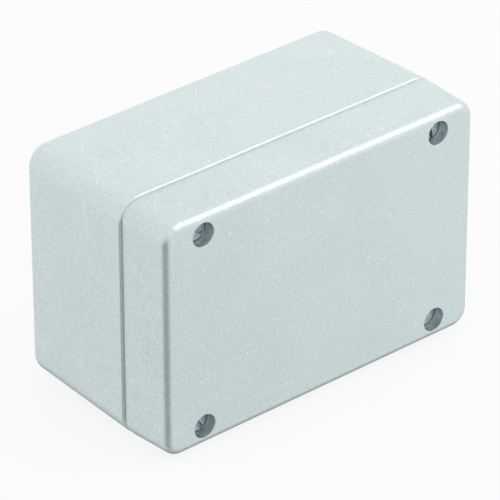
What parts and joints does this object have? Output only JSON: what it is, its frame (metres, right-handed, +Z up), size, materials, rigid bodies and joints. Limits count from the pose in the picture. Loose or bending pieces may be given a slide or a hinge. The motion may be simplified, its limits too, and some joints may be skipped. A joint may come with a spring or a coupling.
{
  "type": "die-cast metal enclosure",
  "caption": "Rectangular die-cast aluminium box: a deep drafted base and a lid held by slotted captive screws sunk at its corners, with a gasket and an earth terminal inside.",
  "frame": {"origin": "middle of the box's length and depth, level with its lowest edge", "axes": "+X along the box's length, -Y out of the lid's front, +Y out of the back, +Z up; it stands on a long side wall"},
  "size_m": [0.12, 0.0634, 0.0794],
  "materials": {
    "base_metal": "as cast, tumbled, matt",
    "lid_metal": "as cast, tumbled, matt",
    "seal": "matt",
    "screw_steel": "bright zinc",
    "clip_steel": "dull spring steel",
    "terminal_brass": "turned brass",
    "terminal_steel": "bright zinc"
  },
  "bodies": {
    "base": {"base_casting": "base_metal", "earth_washer": "terminal_steel", "earth_spring_washer": "terminal_steel", "earth_screw": "terminal_brass"},
    "lid": {"lid_casting": "lid_metal", "lid_gasket": "seal"},
    "clip_1": {"retaining_clip_1": "clip_steel"},
    "screw_1": {"cover_screw_1": "screw_steel"},
    "clip_2": {"retaining_clip_2": "clip_steel"},
    "screw_2": {"cover_screw_2": "screw_steel"},
    "clip_3": {"retaining_clip_3": "clip_steel"},
    "screw_3": {"cover_screw_3": "screw_steel"},
    "clip_4": {"retaining_clip_4": "clip_steel"},
    "screw_4": {"cover_screw_4": "screw_steel"}
  },
  "joints": [
    {"name": "lid_off", "type": "slide", "parent": "base", "child": "lid", "axis": [0, -1, 0], "range_m": [0, 0.045]},
    {"name": "screw_1_travel", "type": "slide", "parent": "lid", "child": "clip_1", "axis": [0, -1, 0], "range_m": [0, 0.007]},
    {"name": "screw_1_turn", "type": "hinge", "parent": "clip_1", "child": "screw_1", "pos_m": [-0.0446, -0.0131, 0.0717], "axis": [0, -1, 0], "range_deg": [0, 3720]},
    {"name": "screw_2_travel", "type": "slide", "parent": "lid", "child": "clip_2", "axis": [0, -1, 0], "range_m": [0, 0.007]},
    {"name": "screw_2_turn", "type": "hinge", "parent": "clip_2", "child": "screw_2", "pos_m": [0.0446, -0.0131, 0.0717], "axis": [0, -1, 0], "range_deg": [0, 3720]},
    {"name": "screw_3_travel", "type": "slide", "parent": "lid", "child": "clip_3", "axis": [0, -1, 0], "range_m": [0, 0.007]},
    {"name": "screw_3_turn", "type": "hinge", "parent": "clip_3", "child": "screw_3", "pos_m": [0.0446, -0.0131, 0.0077], "axis": [0, -1, 0], "range_deg": [0, 3720]},
    {"name": "screw_4_travel", "type": "slide", "parent": "lid", "child": "clip_4", "axis": [0, -1, 0], "range_m": [0, 0.007]},
    {"name": "screw_4_turn", "type": "hinge", "parent": "clip_4", "child": "screw_4", "pos_m": [-0.0446, -0.0131, 0.0077], "axis": [0, -1, 0], "range_deg": [0, 3720]}
  ],
  "couplings": [
    {"joint": "screw_1_turn", "follows": "screw_1_travel", "rad_per_m": 8976},
    {"joint": "screw_2_turn", "follows": "screw_2_travel", "rad_per_m": 8976},
    {"joint": "screw_3_turn", "follows": "screw_3_travel", "rad_per_m": 8976},
    {"joint": "screw_4_turn", "follows": "screw_4_travel", "rad_per_m": 8976}
  ]
}
